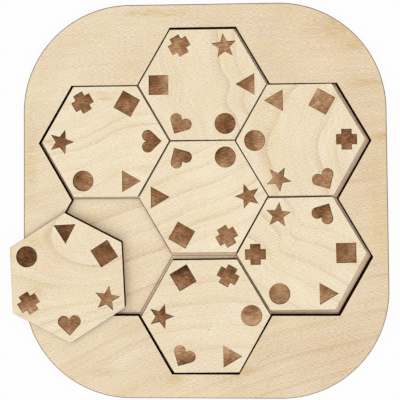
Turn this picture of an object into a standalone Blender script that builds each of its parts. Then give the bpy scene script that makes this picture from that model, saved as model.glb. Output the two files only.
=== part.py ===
"""Wooden shape puzzle: a plywood tray with a honeycomb of seven cells, and seven engraved hexagon tiles.

Six tiles lie in their cells. The lower left one has been taken out and lies, turned, on the frame over
its empty cell. Metres, +Z up. The origin is the middle of the honeycomb on the tray's underside, with
+X to the tray's right and +Y to its far end.
"""

import math

import bmesh
import bpy

# Honeycomb of cells, and the play of a tile in its cell from flat to flat.
CELL_SIDE = 0.040
TILE_PLAY = 0.0023

# Tray: two boards of one outline, glued. The rims are the wood outside the honeycomb's furthest points.
SIDE_RIM = 0.0093
END_RIM = 0.0143
TRAY_CORNER_RADIUS = 0.0645
BASE_THICKNESS = 0.004
FRAME_THICKNESS = 0.004
SCORE_WIDTH = 0.0005
SCORE_DEPTH = 0.0003

# Tiles, and the gap that is left between faces that rest on each other or are glued.
TILE_THICKNESS = 0.004
SEAT_GAP = 0.0003

# Marks engraved in the tiles, with the way from a tile's corner in to each mark's middle.
ENGRAVING_DEPTH = 0.0005
CIRCLE_DIAMETER = 0.0126
CIRCLE_INSET = 0.0114
SQUARE_SIDE = 0.0119
SQUARE_INSET = 0.0123
CROSS_SPAN = 0.0124
CROSS_ARM_WIDTH = 0.0062
CROSS_INSET = 0.0112
TRIANGLE_SIDE = 0.0131
TRIANGLE_INSET = 0.0110
STAR_RADIUS = 0.0079
STAR_NOTCH_RADIUS = 0.0034
STAR_INSET = 0.0119
HEART_WIDTH = 0.0137
HEART_LENGTH = 0.0119
HEART_NOTCH = 0.0025
HEART_INSET = 0.0105

# Where the taken-out tile lies: its slide from its cell's middle in cell sides, and its turn in degrees.
LOOSE_SLIDE = (-0.540, -0.271)
LOOSE_TURN = 32.7

# How finely arcs are drawn, and how near points are joined.
CORNER_STEPS = 20
CIRCLE_STEPS = 36
LOBE_STEPS = 14
WELD_DISTANCE = 0.000001

# Each seated tile: the way from the middle cell to its own in degrees, how it has slipped in that cell in
# shares of the play, its turn in shares of the play over a tile side, and its marks. These run
# anticlockwise from the corner that points right. Where tiles meet at a corner their marks agree.
MIDDLE = None
SEATED_TILES = {
    "tile_center": (
        MIDDLE,
        (-0.27, 0.74),
        0.09,
        ("star", "circle", "heart", "triangle", "square", "cross"),
    ),
    "tile_upper_right": (
        30,
        (-0.95, 0.29),
        0.09,
        ("cross", "square", "triangle", "circle", "star", "heart"),
    ),
    "tile_top": (
        90,
        (-0.30, -0.04),
        -0.01,
        ("triangle", "star", "cross", "square", "heart", "circle"),
    ),
    "tile_upper_left": (
        150,
        (0.23, 0.27),
        0.03,
        ("heart", "square", "cross", "star", "circle", "triangle"),
    ),
    "tile_bottom": (
        270,
        (0.16, -0.06),
        0.16,
        ("circle", "cross", "square", "star", "heart", "triangle"),
    ),
    "tile_lower_right": (
        330,
        (-0.97, 0.94),
        0.22,
        ("square", "heart", "star", "cross", "circle", "triangle"),
    ),
}
LOOSE_TILE = "tile_lower_left"
LOOSE_CELL = 210
LOOSE_MARKS = ("square", "triangle", "circle", "cross", "heart", "star")

# Bare birch as linear colours: the tray's boards, and the paler faces of the tiles.
TRAY_COLOUR = (0.80, 0.65, 0.45)
TILE_COLOUR = (0.86, 0.74, 0.55)
BIRCH_ROUGHNESS = 0.6

# Facts of the hexagon and its honeycomb, in degrees where they are directions, and the greatest share of a
# side that a rounded corner takes. The sizes after them follow from those above.
HEXAGON = 6
FLATS_PER_SIDE = math.sqrt(3)
OUTER_CELLS = range(30, 390, 60)
MOST_ROUNDING = 0.499
CELL_FLATS = CELL_SIDE * FLATS_PER_SIDE
TILE_SIDE = (CELL_FLATS - TILE_PLAY) / FLATS_PER_SIDE
TRAY_WIDTH = 5 * CELL_SIDE + 2 * SIDE_RIM
TRAY_LENGTH = 3 * CELL_FLATS + 2 * END_RIM
FLOOR = BASE_THICKNESS
FRAME_BOTTOM = FLOOR + SEAT_GAP
FRAME_TOP = FRAME_BOTTOM + FRAME_THICKNESS


def away(distance, degrees, start=(0, 0)):
    """The point at a distance from start, in a direction."""
    angle = math.radians(degrees)
    return start[0] + distance * math.cos(angle), start[1] + distance * math.sin(angle)


def polygon(corners, radius, first=0, middle=(0, 0)):
    """A regular polygon whose first corner points in the direction first."""
    return [away(radius, first + 360 * i / corners, middle) for i in range(corners)]


def arc(radius, first, last, steps, middle):
    return [away(radius, first + (last - first) * i / steps, middle) for i in range(steps + 1)]


def rounded_rectangle(width, length, radius):
    radius = min(radius, MOST_ROUNDING * width, MOST_ROUNDING * length)
    x = width / 2 - radius
    y = length / 2 - radius
    outline = []
    for first, middle in ((0, (x, y)), (90, (-x, y)), (180, (-x, -y)), (270, (x, -y))):
        outline += arc(radius, first, first + 90, CORNER_STEPS, middle)
    return outline


def cell_middle(direction):
    return (0, 0) if direction is MIDDLE else away(CELL_FLATS, direction)


def honeycomb():
    """The outline of all seven cells, three corners from each outer cell."""
    outline = []
    for direction in OUTER_CELLS:
        for corner in (direction - 90, direction - 30, direction + 30):
            outline.append(away(CELL_SIDE, corner, cell_middle(direction)))
    return outline


def score_panels():
    """The cells, each shrunk by half a score line all round."""
    side = CELL_SIDE - SCORE_WIDTH / FLATS_PER_SIDE
    return [polygon(HEXAGON, side, 0, cell_middle(cell)) for cell in (MIDDLE, *OUTER_CELLS)]


# The outline of each mark about its own middle, with +X the way out to the tile's corner.
def circle():
    return polygon(CIRCLE_STEPS, CIRCLE_DIAMETER / 2)


def square():
    return polygon(4, SQUARE_SIDE / math.sqrt(2), 45)


def triangle():
    return polygon(3, TRIANGLE_SIDE / math.sqrt(3), 180)


def cross():
    end = CROSS_SPAN / 2
    arm = CROSS_ARM_WIDTH / 2
    quarter = [(end, -arm), (end, arm), (arm, arm)]
    outline = []
    for turn in range(0, 360, 90):
        for x, y in quarter:
            outline.append(away(math.hypot(x, y), turn + math.degrees(math.atan2(y, x))))
    return outline


def star():
    points = polygon(5, STAR_RADIUS, 180)
    notches = polygon(5, STAR_NOTCH_RADIUS, 180 + 36)
    return [corner for pair in zip(points, notches) for corner in pair]


def heart():
    """Two round lobes that meet in a notch, and straight flanks that run on from them to the tip."""
    radius = HEART_WIDTH / 2 + HEART_NOTCH - math.sqrt(HEART_WIDTH * HEART_NOTCH)
    lobe = (radius - HEART_LENGTH / 2, HEART_WIDTH / 2 - radius)
    tip = (HEART_LENGTH / 2, 0)
    reach = math.dist(tip, lobe)
    to_tip = math.degrees(math.atan2(-lobe[1], tip[0] - lobe[0]))
    flank = to_tip + math.degrees(math.acos(radius / reach))
    notch = 180 + math.degrees(math.atan2(lobe[1], radius - HEART_NOTCH))
    upper = arc(radius, flank, notch, LOBE_STEPS, lobe)
    lower = [(x, -y) for x, y in reversed(upper[:-1])]
    return [tip] + upper + lower


MARKS = {
    "circle": (circle, CIRCLE_INSET),
    "square": (square, SQUARE_INSET),
    "cross": (cross, CROSS_INSET),
    "triangle": (triangle, TRIANGLE_INSET),
    "star": (star, STAR_INSET),
    "heart": (heart, HEART_INSET),
}


def marks_round_a_tile(names):
    """The outlines of a tile's six marks, each turned to face the corner that it lies in."""
    outlines = []
    for i, name in enumerate(names):
        outline, inset = MARKS[name]
        corner = 360 * i / HEXAGON
        middle = away(TILE_SIDE - inset, corner)
        outlines.append(
            [
                away(math.hypot(x, y), corner + math.degrees(math.atan2(y, x)), middle)
                for x, y in outline()
            ]
        )
    return outlines


def collection(name):
    made = bpy.data.collections.new(name)
    bpy.context.scene.collection.children.link(made)
    return made


def plate(name, outlines, bottom, thickness, into, place=(0, 0), turn=0):
    """A flat board, or several side by side, cut to closed outlines about an origin at place."""
    drawing = bpy.data.curves.new(name + "_outline", "CURVE")
    drawing.dimensions = "2D"
    drawing.fill_mode = "BOTH"
    drawing.extrude = thickness / 2
    for outline in outlines:
        spline = drawing.splines.new("POLY")
        spline.points.add(len(outline) - 1)
        spline.use_cyclic_u = True
        for point, (x, y) in zip(spline.points, outline):
            point.co = (x, y, 0, 1)
    drawn = bpy.data.objects.new(name + "_outline", drawing)
    drawn.location = (*place, bottom + thickness / 2)
    drawn.rotation_euler.z = math.radians(turn)
    into.objects.link(drawn)
    graph = bpy.context.evaluated_depsgraph_get()
    mesh = bpy.data.meshes.new_from_object(drawn.evaluated_get(graph))
    mesh.name = name
    board = bpy.data.objects.new(name, mesh)
    board.matrix_world = drawn.matrix_world.copy()
    into.objects.link(board)
    bpy.data.objects.remove(drawn)
    bpy.data.curves.remove(drawing)
    weld(mesh)
    return board


def weld(mesh):
    """Joins a filled outline's caps to its sides, and makes each cap one face."""
    edited = bmesh.new()
    edited.from_mesh(mesh)
    bmesh.ops.remove_doubles(edited, verts=edited.verts, dist=WELD_DISTANCE)
    for side in (1, -1):
        cap = [face for face in edited.faces if all(side * v.co.z > 0 for v in face.verts)]
        bmesh.ops.dissolve_faces(edited, faces=cap)
    bmesh.ops.recalc_face_normals(edited, faces=edited.faces)
    edited.to_mesh(mesh)
    edited.free()


def cut(board, cutter):
    cutter.hide_render = True
    cutter.display_type = "WIRE"
    modifier = board.modifiers.new("cut_" + cutter.name, "BOOLEAN")
    modifier.operation = "DIFFERENCE"
    modifier.solver = "EXACT"
    modifier.object = cutter


def birch(board, colour):
    material = bpy.data.materials.new(board.name + "_birch")
    material.use_nodes = True
    shader = material.node_tree.nodes["Principled BSDF"]
    shader.inputs["Base Color"].default_value = (*colour, 1)
    shader.inputs["Roughness"].default_value = BIRCH_ROUGHNESS
    shader.inputs["Metallic"].default_value = 0
    board.data.materials.clear()
    board.data.materials.append(material)


def make_tray(parts, cutters):
    """The scored base and the frame on it. The cutters stand out past the faces that they cut."""
    outline = rounded_rectangle(TRAY_WIDTH, TRAY_LENGTH, TRAY_CORNER_RADIUS)
    base = plate("base_board", [outline], 0, BASE_THICKNESS, parts)
    score = plate("base_score", [honeycomb()], FLOOR - SCORE_DEPTH, 2 * SCORE_DEPTH, cutters)
    panels = plate("score_panels", score_panels(), FLOOR - 2 * SCORE_DEPTH, 4 * SCORE_DEPTH, cutters)
    cut(score, panels)
    cut(base, score)
    birch(base, TRAY_COLOUR)
    frame = plate("frame_board", [outline], FRAME_BOTTOM, FRAME_THICKNESS, parts)
    opening_bottom = FRAME_BOTTOM - FRAME_THICKNESS / 2
    cut(frame, plate("frame_opening", [honeycomb()], opening_bottom, 2 * FRAME_THICKNESS, cutters))
    birch(frame, TRAY_COLOUR)


def make_tile(name, marks, bottom, place, turn, parts, cutters):
    tile = plate(name, [polygon(HEXAGON, TILE_SIDE)], bottom, TILE_THICKNESS, parts, place, turn)
    floor = bottom + TILE_THICKNESS - ENGRAVING_DEPTH
    outlines = marks_round_a_tile(marks)
    cut(tile, plate(name + "_marks", outlines, floor, 2 * ENGRAVING_DEPTH, cutters, place, turn))
    birch(tile, TILE_COLOUR)


def make_tiles(parts, cutters):
    for name, (direction, slip, turned, marks) in SEATED_TILES.items():
        x, y = cell_middle(direction)
        place = (x + slip[0] * TILE_PLAY, y + slip[1] * TILE_PLAY)
        turn = math.degrees(turned * TILE_PLAY / TILE_SIDE)
        make_tile(name, marks, FLOOR + SEAT_GAP, place, turn, parts, cutters)
    x, y = cell_middle(LOOSE_CELL)
    place = (x + LOOSE_SLIDE[0] * CELL_SIDE, y + LOOSE_SLIDE[1] * CELL_SIDE)
    make_tile(LOOSE_TILE, LOOSE_MARKS, FRAME_TOP + SEAT_GAP, place, LOOSE_TURN, parts, cutters)


for old in list(bpy.data.objects):
    bpy.data.objects.remove(old, do_unlink=True)
puzzle = collection("wooden_shape_puzzle")
puzzle_cutters = collection("wooden_shape_puzzle_cutters")
make_tray(puzzle, puzzle_cutters)
make_tiles(puzzle, puzzle_cutters)
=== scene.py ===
"""Looks of a wooden shape puzzle: a birch plywood tray with seven hexagon cells, and seven engraved tiles.

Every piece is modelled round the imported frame, in metres, in the order in which the puzzle is put together.
"""

import math

import bmesh
import bpy
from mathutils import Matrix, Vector


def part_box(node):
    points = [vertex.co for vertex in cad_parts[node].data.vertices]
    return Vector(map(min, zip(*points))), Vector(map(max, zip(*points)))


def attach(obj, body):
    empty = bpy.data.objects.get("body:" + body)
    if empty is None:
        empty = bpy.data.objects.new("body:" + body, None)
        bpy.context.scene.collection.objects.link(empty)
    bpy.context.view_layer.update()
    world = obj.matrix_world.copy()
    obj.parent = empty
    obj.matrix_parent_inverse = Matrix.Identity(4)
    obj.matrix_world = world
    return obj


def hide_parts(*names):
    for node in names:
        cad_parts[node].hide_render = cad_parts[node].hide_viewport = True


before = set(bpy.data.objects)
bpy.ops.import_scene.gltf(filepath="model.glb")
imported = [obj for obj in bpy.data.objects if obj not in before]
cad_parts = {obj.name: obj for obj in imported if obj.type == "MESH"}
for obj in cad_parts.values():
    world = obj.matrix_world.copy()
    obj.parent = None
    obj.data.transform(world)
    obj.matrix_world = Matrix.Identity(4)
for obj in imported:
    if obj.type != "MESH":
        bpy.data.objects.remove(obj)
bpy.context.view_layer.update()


# Base board: one sheet of birch plywood, laser cut to the tray's outline with large round corners. The
# honeycomb is scored into its top as thin burnt lines, and the frame board is glued on, a little off them.
MM = 0.001
HAIR = 0.001 * MM  # less than any real gap
LEVEL = 0.99  # the share of a direction that points up, from which it counts as upright
ROUND_STEP = math.radians(15)  # a bend that is sharper than this stays sharp
CELL_SIDE = 40 * MM
CELL_FLATS = math.sqrt(3) * CELL_SIDE
OUTER_CELLS = range(30, 390, 60)
EMPTY_CELL = 210
CORNER_SEGMENTS = 40
TRAY_RIM = 0.5 * MM
# Painted shade: where a tile lies, the base's top beside the score lines is darkened pink-brown, like smoke,
# for the shade that falls in the gaps round the tiles, more so along the outline by the frame's walls.
GAP_SHADE_WIDTH = 3.2 * MM
FAINT_SHADE_AND_SMOKE = 0.24
OUTLINE_GAP_SHADE = 0.45
OUTLINE_FROM = 1.9 * CELL_SIDE  # the honeycomb's outline lies farther out than this
SCORE_WIDTH = 0.3 * MM
SCORE_DEPTH = 0.3 * MM
SCORE_SHIFT = Vector((0.4 * MM, 0.5 * MM, 0))
BIRCH, EDGE, BURNT = range(3)

# The veneer's figure: how far its growth lines wander in millimetres, how closely its marks repeat, how they
# are drawn out, and how much darker or paler each kind makes the wood.
WANDER = 2.5
WANDER_SCALE = 0.055
PATCH_SCALE = 0.05
BAND_SCALE = 0.035
BAND_STRETCH = 14.0
CLOUD_SCALE = 0.03
FIBRE_STRETCH = (0.5, 3.4)
# Painted highlight: a paler copy of the fibre dashes, set off to one side, gives each fibre a painted lit
# side.
LIT_SIDE_OFFSET = (0, 1.4, 0)
HONEY_STRETCH = (0.4, 1.4)
HONEY_SCALE = 0.12
STAIN_STRETCH = (0.15, 0.8)
BAND_DEPTH = 0.4
CLOUD_DEPTH = 0.42
DASH_DEPTH = 2.0
LIT_SIDE_DEPTH = -0.95
RING_DEPTH = 0.46
HONEY_DEPTH = 0.42


def colour(red, green, blue):
    """A colour as a picture shows it, from 0 to 255, as the linear colour that a shader takes."""
    shares = [value / 255 for value in (red, green, blue)]
    linear = [s / 12.92 if s <= 0.04045 else ((s + 0.055) / 1.055) ** 2.4 for s in shares]
    return (*linear, 1)


def node(tree, kind, *inputs, **settings):
    """Adds a node and feeds its inputs in order: a socket is linked, a value is set and None is left."""
    made = tree.nodes.new("ShaderNode" + kind)
    for name, value in settings.items():
        setattr(made, name, value)
    for socket, value in zip(made.inputs, inputs):
        if isinstance(value, bpy.types.NodeSocket):
            tree.links.new(value, socket)
        elif value is not None:
            socket.default_value = value
    return made


def maths(tree, operation, *values):
    return node(tree, "Math", *values, operation=operation).outputs[0]


def total(tree, *terms):
    """The sum of terms: each is a socket, which varies about a half, and the weight that it counts with."""
    result = 0.0
    for socket, weight in terms:
        centred = maths(tree, "SUBTRACT", socket, 0.5)
        result = maths(tree, "MULTIPLY_ADD", centred, weight, result)
    return result


def noise(tree, place, seed, scale, detail=2.0, roughness=0.5):
    made = node(tree, "TexNoise", place, seed, scale, detail, roughness, noise_dimensions="4D")
    return made.outputs["Fac"]


def vectors(tree, operation, first, second):
    return node(tree, "VectorMath", first, second, operation=operation).outputs[0]


def length_of(tree, vector):
    return node(tree, "VectorMath", vector, operation="LENGTH").outputs["Value"]


def stretched(tree, place, x, y, z=1.0):
    return vectors(tree, "MULTIPLY", place, (x, y, z))


def ranged(tree, value, low, high, first, last):
    """First where a value is low, last where it is high, and in between as it goes from one to the other."""
    return node(tree, "MapRange", value, low, high, first, last).outputs[0]


def blend_of_colours(tree, share, stops):
    """The colour at a share from 0 to 1 along stops of (share, colour)."""
    ramp = node(tree, "ValToRGB", share)
    elements = ramp.color_ramp.elements
    for element, (place, shade) in zip(elements, (stops[0], stops[-1])):
        element.position = place
        element.color = shade
    for place, shade in stops[1:-1]:
        elements.new(place).color = shade
    return ramp.outputs["Color"]


def mixed(tree, share, first, second):
    """A mix of two colours. The node has its colour sockets behind those for numbers and vectors."""
    made = node(tree, "Mix", data_type="RGBA")
    for socket, value in zip((made.inputs[0], made.inputs[6], made.inputs[7]), (share, first, second)):
        if isinstance(value, bpy.types.NodeSocket):
            tree.links.new(value, socket)
        else:
            socket.default_value = value
    return made.outputs[2]


def new_finish(name, specular):
    """A material with nodes, its tree and its shader."""
    material = bpy.data.materials.new(name)
    material.use_nodes = True
    shader = material.node_tree.nodes["Principled BSDF"]
    shader.inputs["Specular IOR Level"].default_value = specular
    return material, material.node_tree, shader


def emboss(tree, shader, pattern, strength, height):
    """Raises a pattern by a small height, for the light to catch on."""
    relief = node(tree, "Bump", strength, height, None, pattern)
    tree.links.new(relief.outputs[0], shader.inputs["Normal"])


def on_sheet(tree, middle, turn):
    """The place on a sheet in millimetres from its middle, along axes turned by degrees."""
    place = node(tree, "TexCoord").outputs["Object"]
    angles = (0, 0, math.radians(turn))
    return node(tree, "Mapping", place, middle, angles, (MM, MM, MM), vector_type="TEXTURE").outputs[0]


def swept(tree, along, sweep):
    """How far growth lines sweep across a sheet at a way along it, on a curve through given points."""
    ways = [way for way, _ in sweep]
    sweeps = [across for _, across in sweep]
    start, end = min(ways), max(ways)
    low, high = min(sweeps), max(sweeps)
    share = ranged(tree, along, start, end, 0.0, 1.0)
    bend = node(tree, "FloatCurve", 1.0, share)
    points = bend.mapping.curves[0].points
    for point, (way, across) in zip(points, (sweep[0], sweep[-1])):
        point.location = ((way - start) / (end - start), (across - low) / (high - low))
    for way, across in sweep[1:-1]:
        points.new((way - start) / (end - start), (across - low) / (high - low))
    bend.mapping.update()
    return ranged(tree, bend.outputs[0], 0.0, 1.0, low, high)


def growth_lines(tree, across, rings):
    """How dark the growth lines make the wood. Each is sharp on one side and fades out on the other, quickly
    at first and then slowly."""
    margin = 12
    sharp = 0.4
    quickness = 3.0
    low = min(offset for offset, _, _ in rings) - margin
    high = max(offset for offset, _, _ in rings) + margin
    share = ranged(tree, across, low, high, 0.0, 1.0)
    stops = [(0.0, (0, 0, 0, 1))]
    for offset, depth, fade in sorted(rings):
        near = offset - math.copysign(sharp, fade)
        peak = depth ** (1 / quickness)
        for place, value in sorted(((near, 0), (offset, peak), (offset + fade, 0))):
            stops.append(((place - low) / (high - low), (value, value, value, 1)))
    stops.append((1.0, (0, 0, 0, 1)))
    return maths(tree, "POWER", blend_of_colours(tree, share, stops), quickness)


def spots(tree, place, marks):
    """How strongly soft spots tint a sheet. Each has its place, half its length and half its height, all in
    millimetres, and its strength."""
    result = 0.0
    for x, y, length, height, strength in marks:
        away = vectors(tree, "SUBTRACT", place, (x, y, 0))
        flat = stretched(tree, away, 1 / length, 1 / height, 0)
        distance = length_of(tree, flat)
        soft = node(tree, "MapRange", distance, 1.0, 0.0, 0.0, strength, interpolation_type="SMOOTHSTEP")
        result = maths(tree, "ADD", result, soft.outputs[0])
    return result


def straying(tree, lines, seed):
    """How far growth lines stray from their course, in millimetres each way."""
    wobble = node(tree, "TexNoise", lines, seed, WANDER_SCALE, 2.0, 0.5, noise_dimensions="4D")
    centred = vectors(tree, "SUBTRACT", wobble.outputs["Color"], (0.5, 0.5, 0.5))
    return stretched(tree, centred, WANDER, WANDER, 0)


def round_an_eye(tree, along, across, eye):
    """How far out growth lines lie that close round an eye in the wood. An eye has its place, along and
    across the sheet, and how much longer it is than high."""
    eye_along, eye_across, slimness = eye
    side = maths(tree, "DIVIDE", maths(tree, "SUBTRACT", along, eye_along), slimness)
    rise = maths(tree, "SUBTRACT", across, eye_across)
    squares = maths(tree, "ADD", maths(tree, "POWER", side, 2.0), maths(tree, "POWER", rise, 2.0))
    return maths(tree, "SQRT", squares)


def birch_veneer(
    name,
    seed,
    middle,
    fibre,
    lay,
    sweep,
    rings,
    tone,
    fan=0.0,
    eye=None,
    drift=0.0,
    singe_and_shade=(),
    stains=(),
    specks=(),
):
    """The sanded face of a birch sheet. Fibre and lay are the directions of its fibres and growth lines in
    degrees. Rings are (offset, depth, fade) in millimetres across the lines, a fan spreads their sweep, and
    they may close round an eye. A drift darkens the sheet to the right. Singe and shade are the colours of
    a singed rim and of painted shade, tinted like smoke, in the gaps round the tiles."""
    material, tree, shader = new_finish(name, specular=0.25)
    sheet = on_sheet(tree, middle, 0)
    fibres = on_sheet(tree, middle, fibre)
    lines = on_sheet(tree, middle, lay)

    strayed = straying(tree, lines, seed)
    lines = vectors(tree, "ADD", lines, strayed)
    along, across, _ = node(tree, "SeparateXYZ", lines).outputs
    if eye:
        across = round_an_eye(tree, along, across, eye)
    spread = maths(tree, "MULTIPLY_ADD", across, fan, 1.0)
    across = maths(tree, "SUBTRACT", across, maths(tree, "MULTIPLY", swept(tree, along, sweep), spread))
    grown = growth_lines(tree, across, rings)
    patches = noise(tree, lines, seed + 1, PATCH_SCALE)
    grown = maths(tree, "MULTIPLY", grown, ranged(tree, patches, 0.3, 0.7, 0.45, 1.0))

    banded = node(tree, "CombineXYZ", maths(tree, "MULTIPLY", across, BAND_STRETCH), along, 0.0).outputs[0]
    bands = noise(tree, banded, seed + 2, BAND_SCALE, 3.0, 0.6)
    clouds = noise(tree, lines, seed + 3, CLOUD_SCALE, 3.0)
    drawn = stretched(tree, fibres, *FIBRE_STRETCH)
    lit_side_place = vectors(tree, "ADD", drawn, LIT_SIDE_OFFSET)
    # Painted highlight: the same dashes shifted across the fibres and made paler, a lit side beside each dark
    # fibre. The shifted dashes also set the roughness and the relief.
    dashes = noise(tree, drawn, seed + 4, 1.0, 1.0)
    flecks_and_lit_sides = noise(tree, lit_side_place, seed + 4, 1.0, 1.0)
    figure = ((bands, BAND_DEPTH), (clouds, CLOUD_DEPTH), (dashes, DASH_DEPTH), (flecks_and_lit_sides, LIT_SIDE_DEPTH))
    depth = total(tree, *figure)
    depth = maths(tree, "ADD", depth, maths(tree, "MULTIPLY_ADD", grown, RING_DEPTH, tone))
    if drift:
        rightwards = node(tree, "SeparateXYZ", sheet).outputs[0]
        depth = maths(tree, "MULTIPLY_ADD", rightwards, drift, depth)
    wood = blend_of_colours(
        tree,
        depth,
        [
            (0.0, colour(251, 243, 222)),
            (0.3, colour(239, 225, 198)),
            (0.6, colour(223, 200, 170)),
            (1.0, colour(189, 155, 122)),
        ],
    )
    honeyed = noise(tree, stretched(tree, lines, *HONEY_STRETCH), seed + 5, HONEY_SCALE, 3.0, 0.7)
    honey = ranged(tree, honeyed, 0.35, 0.7, 0.0, HONEY_DEPTH)
    wood = mixed(tree, honey, wood, colour(233, 211, 160))
    # Painted shade on the base beside its score lines, and the real singe on the frame's outer rim, read from
    # one attribute.
    if singe_and_shade:
        smoke_and_shade = node(tree, "Attribute", attribute_name="smoke_and_shade").outputs["Fac"]
        wood = mixed(tree, smoke_and_shade, wood, blend_of_colours(tree, smoke_and_shade, singe_and_shade))
    if stains:
        torn = noise(tree, stretched(tree, fibres, *STAIN_STRETCH), seed + 6, 1.0)
        streaks = ranged(tree, torn, 0.35, 0.65, 0.0, 1.4)
        ragged = spots(tree, vectors(tree, "ADD", sheet, strayed), stains)
        wood = mixed(tree, maths(tree, "MULTIPLY", ragged, streaks), wood, colour(210, 177, 116))
    if specks:
        wood = mixed(tree, spots(tree, sheet, specks), wood, colour(70, 45, 30))
    tree.links.new(wood, shader.inputs["Base Color"])
    tree.links.new(ranged(tree, flecks_and_lit_sides, 0.3, 0.7, 0.56, 0.7), shader.inputs["Roughness"])
    emboss(tree, shader, flecks_and_lit_sides, 0.25, 0.05 * MM)
    return material


def charred_edge(name, bottom, thickness):
    """The laser's cut through a sheet: burnt dark brown, with three plies and the beam's upright ridges."""
    material, tree, shader = new_finish(name, specular=0.0)
    place = on_sheet(tree, (0, 0, bottom), 0)
    _, _, height = node(tree, "SeparateXYZ", place).outputs
    layer = ranged(tree, height, 0.0, thickness / MM, 0.0, 1.0)
    plies = blend_of_colours(
        tree,
        layer,
        [
            (0.0, colour(66, 37, 19)),
            (0.3, colour(80, 47, 25)),
            (0.33, colour(26, 12, 5)),
            (0.36, colour(50, 26, 12)),
            (0.62, colour(54, 29, 13)),
            (0.65, colour(24, 11, 4)),
            (0.68, colour(66, 38, 20)),
            (1.0, colour(34, 17, 8)),
        ],
    )
    ridges = noise(tree, stretched(tree, place, 2.2, 2.2, 0.12), 3.0, 1.0, 3.0, 0.6)
    soot = noise(tree, place, 5.0, 0.12, 3.0)
    burnt = total(tree, (ridges, 0.5), (soot, 0.9))
    burnt = maths(tree, "ADD", burnt, 0.35)
    tree.links.new(mixed(tree, burnt, plies, colour(18, 8, 3)), shader.inputs["Base Color"])
    tree.links.new(ranged(tree, ridges, 0.3, 0.7, 0.6, 0.85), shader.inputs["Roughness"])
    emboss(tree, shader, ridges, 0.4, 0.1 * MM)
    return material


def scored_line():
    """A line that the laser has burnt into the face without cutting through."""
    material, tree, shader = new_finish("scored_line", specular=0.05)
    place = on_sheet(tree, (0, 0, 0), 0)
    soot = noise(tree, place, 7.0, 0.5, 3.0)
    shades = [(0.25, colour(172, 120, 94)), (0.75, colour(132, 88, 66))]
    tree.links.new(blend_of_colours(tree, soot, shades), shader.inputs["Base Color"])
    tree.links.new(ranged(tree, soot, 0.3, 0.7, 0.65, 0.85), shader.inputs["Roughness"])
    return material


def pick(piece, kind, wanted):
    """In edit mode, leaves selected only the verts, edges or faces that a test wants."""
    bpy.ops.mesh.select_mode(type={"verts": "VERT", "edges": "EDGE", "faces": "FACE"}[kind])
    bpy.ops.mesh.select_all(action="DESELECT")
    edited = bmesh.from_edit_mesh(piece.data)
    for part in getattr(edited, kind):
        part.select_set(bool(wanted(part)))
    edited.select_flush_mode()
    bmesh.update_edit_mesh(piece.data)


def is_flat(face):
    return abs(face.normal.z) > LEVEL


def faces_up(face):
    return face.normal.z > LEVEL


def is_upright(edge):
    first, second = edge.verts
    return abs((second.co - first.co).normalized().z) > LEVEL


def is_rim(edge):
    """Whether an edge runs between a flat face and a side."""
    return len({is_flat(face) for face in edge.link_faces}) == 2


def only(piece):
    """Leaves one piece selected and active."""
    bpy.ops.object.select_all(action="DESELECT")
    piece.select_set(True)
    bpy.context.view_layer.objects.active = piece


def settle(piece):
    """Puts a piece's place, turn and scale into its mesh."""
    only(piece)
    bpy.ops.object.transform_apply(location=True, rotation=True, scale=True)


def modify(piece, kind, **settings):
    """Adds a modifier and applies it."""
    only(piece)
    modifier = piece.modifiers.new(kind.lower(), kind)
    for name, value in settings.items():
        setattr(modifier, name, value)
    bpy.ops.object.modifier_apply(modifier=modifier.name)


def cut(piece, cutter):
    """Cuts a shape out of a piece, and leaves the shape's own finish on the cut."""
    modify(piece, "BOOLEAN", operation="DIFFERENCE", solver="EXACT", material_mode="TRANSFER", object=cutter)
    bpy.data.objects.remove(cutter)


def tray_blank(name, low, high):
    """A board of the tray's outline: a block with round upright corners and eased rims."""
    node_points = [v.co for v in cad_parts["base_board"].data.vertices]
    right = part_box("base_board")[1].x
    straight = max(p.y for p in node_points if p.x > right - HAIR)
    bpy.ops.object.select_all(action="DESELECT")
    bpy.ops.mesh.primitive_cube_add(size=1, location=(low + high) / 2, scale=high - low)
    board = bpy.context.object
    board.name = name
    settle(board)
    bpy.ops.object.mode_set(mode="EDIT")
    pick(board, "edges", is_upright)
    bpy.ops.mesh.bevel(offset=high.y - straight, segments=CORNER_SEGMENTS, affect="EDGES")
    pick(board, "edges", is_rim)
    bpy.ops.mesh.bevel(offset=TRAY_RIM, segments=1, affect="EDGES")
    bpy.ops.object.mode_set(mode="OBJECT")
    return board


def way_at(direction):
    """A step of one along a direction, in degrees anticlockwise from +X."""
    angle = math.radians(direction)
    return Vector((math.cos(angle), math.sin(angle), 0))


def honeycomb(name, height):
    """Seven hexagons side by side at a height, joined at their shared sides."""
    bpy.ops.object.select_all(action="DESELECT")
    bpy.ops.mesh.primitive_circle_add(
        vertices=6,
        radius=CELL_SIDE,
        fill_type="NGON",
        location=(0, 0, height),
        rotation=(0, 0, math.radians(30)),
    )
    cells = bpy.context.object
    cells.name = name
    settle(cells)
    bpy.ops.object.mode_set(mode="EDIT")
    for direction in OUTER_CELLS:
        pick(cells, "faces", lambda face: face.calc_center_median().xy.length < CELL_SIDE / 2)
        bpy.ops.mesh.duplicate_move(TRANSFORM_OT_translate={"value": CELL_FLATS * way_at(direction)})
    bpy.ops.mesh.select_all(action="SELECT")
    bpy.ops.mesh.remove_doubles(threshold=HAIR)
    bpy.ops.object.mode_set(mode="OBJECT")
    return cells


def thicken(piece, rise):
    """Draws all of a flat shape up into a solid."""
    only(piece)
    bpy.ops.object.mode_set(mode="EDIT")
    bpy.ops.mesh.select_all(action="SELECT")
    bpy.ops.mesh.extrude_region_move(TRANSFORM_OT_translate={"value": (0, 0, rise)})
    bpy.ops.mesh.select_all(action="SELECT")
    bpy.ops.mesh.normals_make_consistent(inside=False)
    bpy.ops.object.mode_set(mode="OBJECT")


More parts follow.
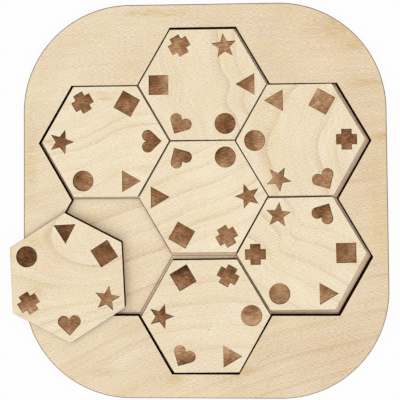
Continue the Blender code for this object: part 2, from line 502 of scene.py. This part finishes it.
def note_at(piece, name, depths):
    """Keeps a value for each point that is given one, and 0 for the others, for a finish to look up."""
    values = [depths.get(point, 0.0) for point in range(len(piece.data.vertices))]
    piece.data.attributes.new(name, "FLOAT", "POINT").data.foreach_set("value", values)


def hand_over(piece, node_name, body):
    """Chars the sides, smooths the round corners and puts a finished piece in its CAD node's place."""
    for face in piece.data.polygons:
        if face.material_index == BIRCH and not is_flat(face):
            face.material_index = EDGE
    only(piece)
    bpy.ops.object.shade_smooth_by_angle(angle=ROUND_STEP)
    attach(piece, body)
    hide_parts(node_name)


def in_empty_cell(place):
    """Whether a place lies in the lower left cell, whose tile has been taken out."""
    away = place - SCORE_SHIFT - CELL_FLATS * way_at(EMPTY_CELL)
    return max(away.dot(way_at(direction)) for direction in OUTER_CELLS) < CELL_FLATS / 2


base_low, base_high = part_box("base_board")
base = tray_blank("scored_base_board", base_low, base_high)
base.data.materials.append(
    birch_veneer(
        "base_birch_veneer",
        seed=11.0,
        middle=(0, 0, base_high.z),
        fibre=0,
        lay=20,
        sweep=((-110, -2), (-50, 1), (0, -1), (110, 3)),
        rings=((8, 0.9, 14), (-20.5, 0.95, 9), (-38, 0.6, -9), (30, 0.5, 8), (-70, 0.4, 9)),
        tone=0.375,
        singe_and_shade=((FAINT_SHADE_AND_SMOKE, colour(226, 150, 130)), (OUTLINE_GAP_SHADE, colour(160, 122, 101))),
    )
)
base.data.materials.append(charred_edge("base_charred_edge", 0, base_high.z))
score = honeycomb("score_lines", base_high.z - SCORE_DEPTH)
score.data.materials.append(scored_line())
score.location = SCORE_SHIFT
settle(score)
bpy.ops.object.mode_set(mode="EDIT")
bpy.ops.mesh.select_all(action="SELECT")
bpy.ops.mesh.inset(thickness=SCORE_WIDTH / 2, use_individual=True)
bpy.ops.mesh.delete(type="FACE")
bpy.ops.object.mode_set(mode="OBJECT")
thicken(score, 2 * SCORE_DEPTH)
cut(base, score)
# Painted shade: a band along the score lines, darkest at them, noted everywhere but in the empty cell, where
# no tile stands to shade it.
only(base)
bpy.ops.object.mode_set(mode="EDIT")
pick(base, "faces", lambda face: faces_up(face) and face.material_index == BIRCH)
bpy.ops.mesh.inset(thickness=GAP_SHADE_WIDTH, use_boundary=True, use_even_offset=True)
bpy.ops.object.mode_set(mode="OBJECT")
burnt_faces = [face for face in base.data.polygons if face.material_index == BURNT]
beside_lines = {point for face in burnt_faces for point in face.vertices}
smoke_and_shade = {}
for point in beside_lines:
    place = base.data.vertices[point].co
    if not in_empty_cell(place):
        smoke_and_shade[point] = OUTLINE_GAP_SHADE if place.xy.length > OUTLINE_FROM else FAINT_SHADE_AND_SMOKE
note_at(base, "smoke_and_shade", smoke_and_shade)
hand_over(base, "base_board", "tray")


# Frame board: a second sheet of the same birch plywood and outline, with the whole honeycomb cut out of it.
# It is glued flat on the base board, so that the seven tiles lie level with its top.
GLUE_LINE = 0.02 * MM
SINGED_EDGE = 0.6 * MM
EDGE_SMOKE = 0.4
OPENING_RIM = 0.1 * MM


def is_eased(face):
    """Whether a face slopes between the top and a side."""
    return 1 - LEVEL < face.normal.z < LEVEL


def is_opening_rim(edge):
    """Whether an edge runs between the top and an upright side."""
    side, top = sorted(edge.link_faces, key=lambda face: face.normal.z)
    return faces_up(top) and abs(side.normal.z) < 1 - LEVEL


frame_low, frame_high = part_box("frame_board")
frame_low.z = base_high.z + GLUE_LINE
rim = tray_blank("honeycomb_frame_board", frame_low, frame_high)
only(rim)
bpy.ops.object.mode_set(mode="EDIT")
pick(rim, "faces", faces_up)
bpy.ops.mesh.inset(thickness=SINGED_EDGE, use_even_offset=True)
bpy.ops.object.mode_set(mode="OBJECT")
outline = {point for face in rim.data.polygons if is_eased(face) for point in face.vertices}
note_at(rim, "smoke_and_shade", {point: EDGE_SMOKE for point in outline})
rim.data.materials.append(
    birch_veneer(
        "frame_birch_veneer",
        seed=23.0,
        middle=(0, 0, frame_high.z),
        fibre=0,
        lay=0,
        sweep=((-115, -29), (20, 0), (115, 14)),
        fan=-1 / 100,
        rings=(
            (-120.5, 0.55, -5),
            (-112, 0.3, -4),
            (-103, 0.7, -6),
            (-86, 0.5, -6),
            (-63, 0.5, -5),
            (-55, 0.4, -5),
            (-31, 0.45, -5),
            (2, 0.45, -5),
            (28, 0.45, -5),
            (65, 0.45, -6),
        ),
        tone=0.46,
        drift=0.0007,
        singe_and_shade=((FAINT_SHADE_AND_SMOKE, colour(200, 140, 118)), (EDGE_SMOKE, colour(160, 112, 94))),
        stains=(
            (-18, -106, 7, 5, 0.7),
            (24, -101, 9, 5, 0.6),
            (40, -72, 8, 5, 0.6),
            (78, 103, 26, 12, 0.5),
            (92, 92, 15, 7, 0.6),
            (97, 70, 17, 3, 0.7),
            (107, 37.5, 9, 3, 0.8),
            (105, 0, 14, 70, 0.3),
            (-106, 25, 9, 36, 0.45),
            (-30, 113, 34, 4, 0.6),
            (-61, -102.6, 14, 4, 0.5),
        ),
    )
)
rim.data.materials.append(charred_edge("frame_charred_edge", frame_low.z, frame_high.z - frame_low.z))
opening = honeycomb("frame_opening", frame_low.z - TRAY_RIM)
only(opening)
bpy.ops.object.mode_set(mode="EDIT")
bpy.ops.mesh.select_all(action="SELECT")
bpy.ops.mesh.dissolve_faces()
bpy.ops.object.mode_set(mode="OBJECT")
thicken(opening, frame_high.z - frame_low.z + 2 * TRAY_RIM)
cut(rim, opening)
only(rim)
bpy.ops.object.mode_set(mode="EDIT")
pick(rim, "edges", is_opening_rim)
bpy.ops.mesh.bevel(offset=OPENING_RIM, segments=1, affect="EDGES")
bpy.ops.object.mode_set(mode="OBJECT")
hand_over(rim, "frame_board", "tray")


# Engraved marks: six plain figures that the laser has burnt half a millimetre deep into each tile's corners.
# Each is modelled once, about its own middle with +X the way out to the corner, and cut out of the tiles.
ENGRAVING_DEPTH = 0.5 * MM
CIRCLE_DIAMETER = 12.6 * MM
SQUARE_SIDE = 11.9 * MM
CROSS_SPAN = 12.4 * MM
CROSS_ARM_WIDTH = 6.2 * MM
TRIANGLE_SIDE = 13.1 * MM
STAR_CORNERS = 10
STAR_RADIUS = 7.9 * MM
STAR_NOTCH_RADIUS = 3.4 * MM
HEART_WIDTH = 13.7 * MM
HEART_LENGTH = 11.9 * MM
HEART_NOTCH = 2.5 * MM
ROUND_SIDES = 64
MARK_INSETS = {
    "circle": 11.4 * MM,
    "square": 12.3 * MM,
    "cross": 11.2 * MM,
    "triangle": 11.0 * MM,
    "star": 11.9 * MM,
    "heart": 10.5 * MM,
}


def burnt_engraving():
    """The floor of an engraved mark: scorched brown, mottled, streaked sideways and darkest at its rim."""
    material, tree, shader = new_finish("burnt_engraving", specular=0.05)
    place = on_sheet(tree, (0, 0, 0), 0)
    burn = node(tree, "Attribute", attribute_name="burn").outputs["Fac"]
    outline = node(tree, "Attribute", attribute_name="outline").outputs["Fac"]
    mottle = noise(tree, place, 31.0, 0.16, 3.0, 0.55)
    streaks = noise(tree, stretched(tree, place, 0.4, 2.6), 37.0, 1.0, 1.0)
    depth = total(tree, (mottle, 1.0), (streaks, 1.15))
    depth = maths(tree, "ADD", depth, maths(tree, "MULTIPLY_ADD", outline, 0.4, burn))
    scorch = blend_of_colours(
        tree,
        depth,
        [
            (0.0, colour(200, 166, 130)),
            (0.25, colour(170, 130, 95)),
            (0.5, colour(140, 99, 65)),
            (0.75, colour(105, 70, 43)),
            (1.0, colour(62, 39, 23)),
        ],
    )
    tree.links.new(scorch, shader.inputs["Base Color"])
    tree.links.new(ranged(tree, mottle, 0.3, 0.7, 0.65, 0.85), shader.inputs["Roughness"])
    emboss(tree, shader, streaks, 0.4, 0.1 * MM)
    return material


def round_blank(name, corners, radius, place=(0, 0), turn=0):
    """A prism of the engraving's depth below zero and as much above it."""
    bpy.ops.object.select_all(action="DESELECT")
    bpy.ops.mesh.primitive_cylinder_add(
        vertices=corners,
        radius=radius,
        depth=2 * ENGRAVING_DEPTH,
        location=(*place, 0),
        rotation=(0, 0, math.radians(turn)),
    )
    bpy.context.object.name = name
    settle(bpy.context.object)
    return bpy.context.object


def square_blank(name, side):
    bpy.ops.object.select_all(action="DESELECT")
    bpy.ops.mesh.primitive_cube_add(size=1, scale=(side, side, 2 * ENGRAVING_DEPTH))
    bpy.context.object.name = name
    settle(bpy.context.object)
    return bpy.context.object


def circle_mark():
    return round_blank("circle_mark", ROUND_SIDES, CIRCLE_DIAMETER / 2)


def square_mark():
    return square_blank("square_mark", SQUARE_SIDE)


def triangle_mark():
    """Its first corner points back to the tile's middle."""
    return round_blank("triangle_mark", 3, TRIANGLE_SIDE / math.sqrt(3), turn=90)


def cross_mark():
    """A small square with each side drawn out into an arm."""
    mark = square_blank("cross_mark", CROSS_ARM_WIDTH)
    arm = (CROSS_SPAN - CROSS_ARM_WIDTH) / 2
    inner = CROSS_ARM_WIDTH / 2 + HAIR
    bpy.ops.object.mode_set(mode="EDIT")
    for x, y in ((1, 0), (0, 1), (-1, 0), (0, -1)):
        way = Vector((x, y, 0))
        pick(mark, "faces", lambda f: f.normal.dot(way) > LEVEL and f.calc_center_median().length < inner)
        bpy.ops.mesh.extrude_region_move(TRANSFORM_OT_translate={"value": way * arm})
    bpy.ops.object.mode_set(mode="OBJECT")
    return mark


def star_mark():
    """Ten corners, of which every other one is drawn in to make a notch."""
    mark = round_blank("star_mark", STAR_CORNERS, STAR_RADIUS, turn=90)
    share = STAR_NOTCH_RADIUS / STAR_RADIUS

    def is_notch(vert):
        turn = math.degrees(math.atan2(vert.co.y, vert.co.x)) - 180
        return round(turn * STAR_CORNERS / 360) % 2 == 1

    bpy.ops.object.mode_set(mode="EDIT")
    pick(mark, "verts", is_notch)
    bpy.ops.transform.resize(value=(share, share, 1), center_override=(0, 0, 0))
    bpy.ops.object.mode_set(mode="OBJECT")
    return mark


def heart_mark():
    """A round lobe whose points towards the tip are drawn out to it, cut at the middle line and mirrored."""
    radius = HEART_WIDTH / 2 + HEART_NOTCH - math.sqrt(HEART_WIDTH * HEART_NOTCH)
    lobe = Vector((radius - HEART_LENGTH / 2, HEART_WIDTH / 2 - radius, 0))
    tip = Vector((HEART_LENGTH / 2, 0, 0))
    way = (tip - lobe).normalized()
    tangent = radius / (tip - lobe).length
    mark = round_blank("heart_mark", ROUND_SIDES, radius, place=lobe.xy)
    bpy.ops.object.mode_set(mode="EDIT")
    pick(mark, "verts", lambda vert: Vector((*(vert.co - lobe).xy, 0)).normalized().dot(way) > tangent)
    bpy.ops.transform.resize(value=(0, 0, 1), center_override=tip)
    bpy.ops.mesh.select_all(action="SELECT")
    bpy.ops.mesh.remove_doubles(threshold=HAIR)
    bpy.ops.object.mode_set(mode="OBJECT")
    across = (False, True, False)
    modify(
        mark,
        "MIRROR",
        use_axis=across,
        use_bisect_axis=across,
        bisect_threshold=HAIR,
        merge_threshold=HAIR,
    )
    return mark


engraving = burnt_engraving()
mark_shapes = {}
for make_mark in (circle_mark, square_mark, triangle_mark, cross_mark, star_mark, heart_mark):
    shape = make_mark()
    only(shape)
    bpy.ops.object.mode_set(mode="EDIT")
    bpy.ops.mesh.select_all(action="SELECT")
    bpy.ops.mesh.normals_make_consistent(inside=False)
    bpy.ops.object.mode_set(mode="OBJECT")
    shape.data.materials.append(engraving)
    shape.hide_render = True
    mark_shapes[shape.name.removesuffix("_mark")] = shape


# Tiles: seven loose hexagons of birch plywood, sanded, with a mark burnt into each of their six corners. Six
# lie in their cells, and the lower left one lies turned on the frame, half over its empty cell.
PALE, LIGHT, MIDDLE, BROWN, DARK, DEEP, CHARRED = 0.25, 0.34, 0.42, 0.49, 0.56, 0.62, 0.75

# Each tile: the look of its veneer, and its marks anticlockwise from the corner that points right. A mark
# has its figure, how deep it is burnt, the way in degrees to where it is burnt deeper, and how much deeper.
TILES = {
    "tile_center": (
        dict(
            seed=41.0,
            lay=24,
            sweep=((-36, -2), (-12, 1), (12, -1), (36, 2)),
            rings=((-24, 0.6, 7), (-14, 0.75, 7), (-5, 0.75, 6), (6, 0.8, 8), (17, 0.6, 8), (26, 0.6, 7)),
            tone=0.255,
        ),
        (
            ("star", MIDDLE, 105, 0.11),
            ("circle", BROWN, 135, 0.2),
            ("heart", BROWN, 60, 0.25),
            ("triangle", BROWN, 10, 0.22),
            ("square", BROWN, 95, 0.21),
            ("cross", LIGHT, 60, 0.04),
        ),
    ),
    "tile_upper_right": (
        dict(
            seed=53.0,
            lay=90,
            sweep=((-34, -6), (-16, -2), (-7, 0.3), (0, 0), (10, -5.4), (20, -9), (34, -19)),
            rings=((19, 1.0, 12), (-11, 1.0, 11), (5, 0.4, 5), (-22, 0.5, 6)),
            tone=0.3,
            stains=((-14, 25, 18, 12, 0.35), (-20, 2, 12, 20, 0.25)),
        ),
        (
            ("cross", DARK, 135, 0.11),
            ("square", PALE, -95, 0.1),
            ("triangle", PALE, 90, 0.07),
            ("circle", MIDDLE, 180, 0.18),
            ("star", PALE, 40, 0.19),
            ("heart", PALE, 155, 0.1),
        ),
    ),
    "tile_top": (
        dict(
            seed=67.0,
            lay=90,
            sweep=((-34, -9), (-20, -6), (-10, 0), (0, -1.6), (8, 2.3), (16, 4), (34, 5)),
            rings=((-14.7, 0.9, 11), (-25, 0.6, 6), (13, 0.4, 12), (19, 0.4, 4)),
            tone=0.31,
        ),
        (
            ("triangle", MIDDLE, 160, 0.22),
            ("star", PALE, 70, 0.04),
            ("cross", LIGHT, 35, 0.13),
            ("square", MIDDLE, 175, 0.27),
            ("heart", LIGHT, -70, 0.06),
            ("circle", DARK, -60, 0.06),
        ),
    ),
    "tile_upper_left": (
        dict(
            seed=71.0,
            lay=0,
            sweep=((-34, -10), (-17, -7.4), (-7, -3.6), (0, 0), (7, 4), (14, 6.2), (34, 8.5)),
            rings=((19.5, 0.4, 6), (8.2, 0.6, 6), (2, 0.85, 6), (-9.5, 0.35, 6), (-24, 0.45, 5)),
            tone=0.225,
            stains=(
                (-3, 29, 19, 2.6, 0.5),
                (1, 26, 12, 2, 0.6),
                (-34, 1, 7, 5, 0.6),
                (-26, 22, 9, 5, 0.35),
                (24, -17, 7, 4, 0.4),
            ),
        ),
        (
            ("heart", DARK, -10, 0.22),
            ("square", BROWN, 100, 0.12),
            ("cross", BROWN, 90, 0.06),
            ("star", DARK, 100, 0.17),
            ("circle", MIDDLE, 165, 0.2),
            ("triangle", LIGHT, 125, 0.13),
        ),
    ),
    "tile_bottom": (
        dict(
            seed=83.0,
            lay=4,
            sweep=((-36, -2), (0, 2), (36, -1)),
            rings=((-22, 0.6, 8), (-9, 0.5, 8), (5, 0.6, 8), (18, 0.6, 8)),
            tone=0.3,
            specks=((2, -8, 0.6, 0.6, 0.9),),
        ),
        (
            ("circle", PALE, 105, 0.24),
            ("cross", BROWN, 100, 0.19),
            ("square", DEEP, 85, 0.3),
            ("star", DARK, 80, 0.18),
            ("heart", LIGHT, -90, 0.29),
            ("triangle", PALE, -90, 0.2),
        ),
    ),
    "tile_lower_right": (
        dict(
            seed=97.0,
            lay=-32,
            sweep=((-34, 8), (-22, 6), (-16, 4), (-10, -4.5), (-3, -3), (6, -0.3), (34, 0.7)),
            fan=1 / 30,
            rings=((20, 0.5, 5), (10, 0.75, 6), (-2.8, 0.95, 6), (-14, 0.85, 6), (-28, 0.6, -8)),
            tone=0.265,
        ),
        (
            ("square", BROWN, -160, 0.07),
            ("heart", DARK, 80, 0.3),
            ("star", LIGHT, -180, 0.08),
            ("cross", DARK, 65, 0.14),
            ("circle", LIGHT, -60, 0.03),
            ("triangle", LIGHT, 30, 0.1),
        ),
    ),
    "tile_lower_left": (
        dict(
            seed=109.0,
            lay=0,
            eye=(15, 25, 1.45),
            sweep=((-40, -7.9), (40, 7.9)),
            fan=-1 / 17,
            rings=((17.2, 0.8, 7), (31.5, 0.3, 6), (42.3, 0.7, 5), (49, 0.8, 5), (55, 0.6, 5)),
            tone=0.31,
            stains=(
                (-21, 20, 9, 12, 0.4),
                (-33, 13, 5, 12, 0.4),
                (-19, -8, 8, 5, 0.6),
                (-12, 24, 4, 9, 0.5),
            ),
        ),
        (
            ("square", DEEP, 115, 0.08),
            ("triangle", CHARRED, 145, 0.09),
            ("circle", CHARRED, 135, 0.08),
            ("cross", MIDDLE, 100, 0.38),
            ("heart", LIGHT, 80, 0.13),
            ("star", LIGHT, -150, 0.1),
        ),
    ),
}
CORNER_ANGLE = 60
LEAST_TURN = -10
TILE_CORNER = 0.4 * MM
TILE_RIM = 0.16 * MM
OUTLINE_WIDTH = 0.5 * MM
MARK_REACH = 6 * MM


def lie_of(node_name):
    """The middle of a tile's node, the way from there to a corner, and its turn in degrees."""
    low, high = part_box(node_name)
    middle = (low + high) / 2
    corner = max((v.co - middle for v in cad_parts[node_name].data.vertices), key=lambda p: p.xy.length)
    direction = math.degrees(math.atan2(corner.y, corner.x))
    return middle, corner.xy.length, (direction - LEAST_TURN) % CORNER_ANGLE + LEAST_TURN


def tile_blank(side, thickness):
    """A hexagon with a corner at +X, its edges eased, divided into a kite at each corner for its mark."""
    bpy.ops.object.select_all(action="DESELECT")
    bpy.ops.mesh.primitive_cylinder_add(
        vertices=6, radius=side, depth=thickness, rotation=(0, 0, math.radians(30))
    )
    blank = bpy.context.object
    blank.name = "tile_blank"
    settle(blank)
    bpy.ops.object.mode_set(mode="EDIT")
    pick(blank, "edges", is_upright)
    bpy.ops.mesh.bevel(offset=TILE_CORNER, segments=3, affect="EDGES")
    pick(blank, "edges", is_rim)
    bpy.ops.mesh.bevel(offset=TILE_RIM, segments=1, affect="EDGES")
    for direction in range(0, 180, CORNER_ANGLE):
        bpy.ops.mesh.select_all(action="SELECT")
        bpy.ops.mesh.bisect(plane_co=(0, 0, 0), plane_no=way_at(direction))
    bpy.ops.object.mode_set(mode="OBJECT")
    blank.hide_render = True
    return blank


def copy_of(model, name, place, turn):
    """A copy with its own mesh, at a place and turned by degrees."""
    made = model.copy()
    made.data = model.data.copy()
    made.name = name
    made.hide_render = False
    bpy.context.scene.collection.objects.link(made)
    made.location = place
    made.rotation_euler.z = math.radians(turn)
    settle(made)
    return made


def engrave(tile, marks, middle, side, turn, top):
    """Cuts a tile's marks, and notes how deep their points are burnt and which lie at a mark's outline."""
    places = []
    for i, (mark, _, _, _) in enumerate(marks):
        direction = turn + CORNER_ANGLE * i
        places.append(Vector((middle.x, middle.y, top)) + (side - MARK_INSETS[mark]) * way_at(direction))
        cut(tile, copy_of(mark_shapes[mark], "mark_cutter", places[i], direction))
    only(tile)
    bpy.ops.object.mode_set(mode="EDIT")
    pick(tile, "faces", lambda face: is_flat(face) and face.material_index == BURNT)
    bpy.ops.mesh.dissolve_faces()
    bpy.ops.mesh.inset(thickness=OUTLINE_WIDTH, use_boundary=True, use_even_offset=True)
    bpy.ops.object.mode_set(mode="OBJECT")
    burns = {}
    outline = {}
    for face in tile.data.polygons:
        if face.material_index == BURNT:
            i = min(range(len(marks)), key=lambda n: (face.center - places[n]).length)
            _, burn, darker, lean = marks[i]
            for point in face.vertices:
                away = tile.data.vertices[point].co - places[i]
                burns[point] = burn + lean * away.dot(way_at(darker)) / MARK_REACH
                if not is_flat(face):
                    outline[point] = 1.0
    note_at(tile, "burn", burns)
    note_at(tile, "outline", outline)


tile_low, tile_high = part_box("tile_center")
_, tile_side, _ = lie_of("tile_center")
tile_model = tile_blank(tile_side, tile_high.z - tile_low.z)
for node_name, (veneer, marks) in TILES.items():
    low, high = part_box(node_name)
    middle, side, turn = lie_of(node_name)
    tile = copy_of(tile_model, "engraved_" + node_name, middle, turn)
    tile.data.materials.append(
        birch_veneer(node_name + "_veneer", middle=(middle.x, middle.y, high.z), fibre=turn, **veneer)
    )
    tile.data.materials.append(charred_edge(node_name + "_charred_edge", low.z, high.z - low.z))
    engrave(tile, marks, middle, side, turn, high.z)
    hand_over(tile, node_name, node_name)
for model in (tile_model, *mark_shapes.values()):
    bpy.data.objects.remove(model)


# Studio: a plain white floor, a warm soft lamp and a wider, cooler one straight above it, a faint glow from
# all round, and a camera that looks down on the tray, with its picture shifted as the photograph is framed.
FLOOR_SIZE = 6.0
FLOOR_DROP = 0.1 * MM
LAMP_HEIGHT = 1.0
KEY_WIDTH = 1.35
KEY_POWER = 10.09
KEY_TINT = (1.0, 0.892, 0.813)
FILL_WIDTH = 3.0
FILL_POWER = 18.8
FILL_TINT = (0.698, 0.873, 1.0)
GLOW = 0.04
PLAIN_WHITE = 0.9
SHADOW_REACH = 0.25
BACKDROP_REACH = 0.9
CAMERA_PLACE = (4.83 * MM, 23.74 * MM, 296.72 * MM)
CAMERA_TILT = (1.179, 1.422, -0.471)
LENS = 43.2
SENSOR = 36.0
FRAMING_SHIFT = -0.125
NEAREST_SEEN = 0.01


def seen_directly(tree):
    """1 where the eye, a mirror or glass looks at a surface, and 0 where it only passes light on."""
    path = node(tree, "LightPath").outputs
    straight = maths(tree, "MAXIMUM", path["Is Camera Ray"], path["Is Glossy Ray"])
    return maths(tree, "MAXIMUM", straight, path["Is Transmission Ray"])


bpy.ops.object.select_all(action="DESELECT")
bpy.ops.mesh.primitive_plane_add(size=FLOOR_SIZE, location=(0, 0, -FLOOR_DROP))
floor = bpy.context.object
floor.name = "studio_floor"
floor_white = bpy.data.materials.new("studio_floor_white")
floor_white.use_nodes = True
tree = floor_white.node_tree
tree.nodes.remove(tree.nodes["Principled BSDF"])
matt = node(tree, "BsdfDiffuse", colour(245, 245, 245)).outputs[0]
white = node(tree, "Emission", (1, 1, 1, 1), 1.0).outputs[0]
away = length_of(tree, node(tree, "TexCoord").outputs["Object"])
plain = ranged(tree, away, SHADOW_REACH, BACKDROP_REACH, PLAIN_WHITE, 1.0)
share = maths(tree, "MULTIPLY", seen_directly(tree), plain)
surface = node(tree, "MixShader", share, matt, white).outputs[0]
tree.links.new(surface, tree.nodes["Material Output"].inputs["Surface"])
floor.data.materials.append(floor_white)

for name, width, power, tint in (
    ("warm_key_softbox", KEY_WIDTH, KEY_POWER, KEY_TINT),
    ("cool_fill_softbox", FILL_WIDTH, FILL_POWER, FILL_TINT),
):
    bpy.ops.object.light_add(type="AREA", location=(0, 0, LAMP_HEIGHT))
    lamp = bpy.context.object
    lamp.name = name
    lamp.data.shape = "DISK"
    lamp.data.size = width
    lamp.data.energy = power
    lamp.data.color = tint

scene = bpy.context.scene
world = bpy.data.worlds.new("studio_white")
world.use_nodes = True
tree = world.node_tree
fill = node(tree, "Background", (1, 1, 1, 1), GLOW).outputs[0]
backdrop = node(tree, "Background", (1, 1, 1, 1), 1.0).outputs[0]
surface = node(tree, "MixShader", seen_directly(tree), fill, backdrop).outputs[0]
tree.links.new(surface, tree.nodes["World Output"].inputs["Surface"])
scene.world = world

bpy.ops.object.camera_add(location=CAMERA_PLACE, rotation=[math.radians(angle) for angle in CAMERA_TILT])
camera = bpy.context.object
camera.data.lens = LENS
camera.data.sensor_width = SENSOR
camera.data.shift_y = FRAMING_SHIFT
camera.data.clip_start = NEAREST_SEEN
scene.camera = camera
scene.view_settings.view_transform = "Standard"
